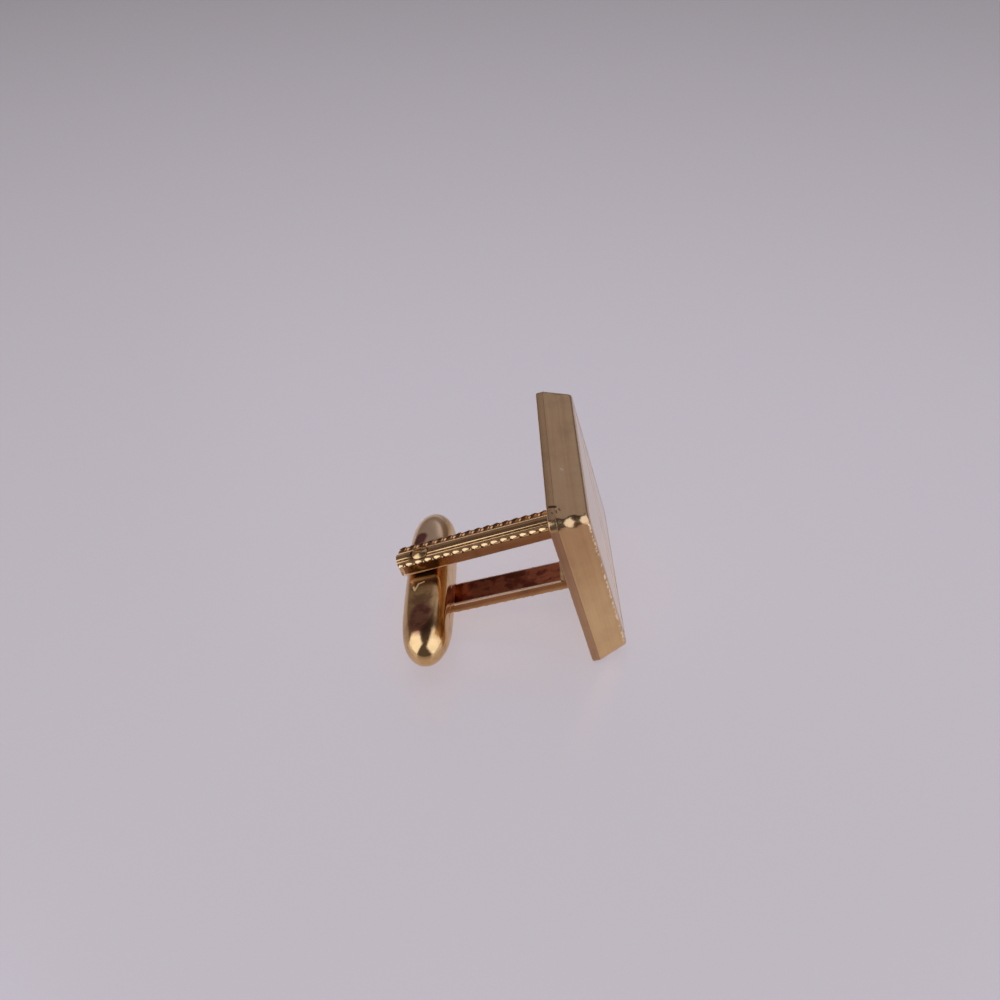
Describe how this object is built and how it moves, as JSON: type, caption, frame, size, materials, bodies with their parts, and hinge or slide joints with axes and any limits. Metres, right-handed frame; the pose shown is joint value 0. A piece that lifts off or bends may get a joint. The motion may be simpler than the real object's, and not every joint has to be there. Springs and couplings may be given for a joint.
{
  "type": "cufflink",
  "caption": "Swivel-toggle cufflink: a shallow rectangular case with leaning sides, a milgrain two-legged post and a torpedo toggle that turns to lock the cuff.",
  "frame": {"origin": "middle of the display face", "axes": "+X out of the display face, +Y along the open toggle, +Z along the pivot pin; the cufflink lies on its side"},
  "size_m": [0.0186, 0.0232, 0.017],
  "materials": {
    "case_gold": "gold plate, lengthwise satin brush lines with worn edges",
    "panel_gold": "gold plate, finely brushed with two engraved lines",
    "post_gold": "gold plate, bright with dark hollows in the milgrain",
    "toggle_gold": "gold plate, polished with fine rub marks",
    "pin_gold": "gold plate, hammered heads",
    "spring_steel": "bare spring strip"
  },
  "bodies": {
    "case_and_post": {"front_shell": "case_gold", "face_panel": "panel_gold", "back_plate": "case_gold", "leg_bracket": "post_gold", "pivot_pin": "pin_gold"},
    "toggle": {"toggle_shell_upper": "toggle_gold", "toggle_shell_lower": "toggle_gold", "detent_spring": "spring_steel"}
  },
  "joints": [
    {"name": "toggle_swivel", "type": "hinge", "parent": "case_and_post", "child": "toggle", "pos_m": [-0.01635, -0.0028, -0.00075], "axis": [0, 0, 1], "continuous": true, "deforming": ["detent_spring"]}
  ]
}
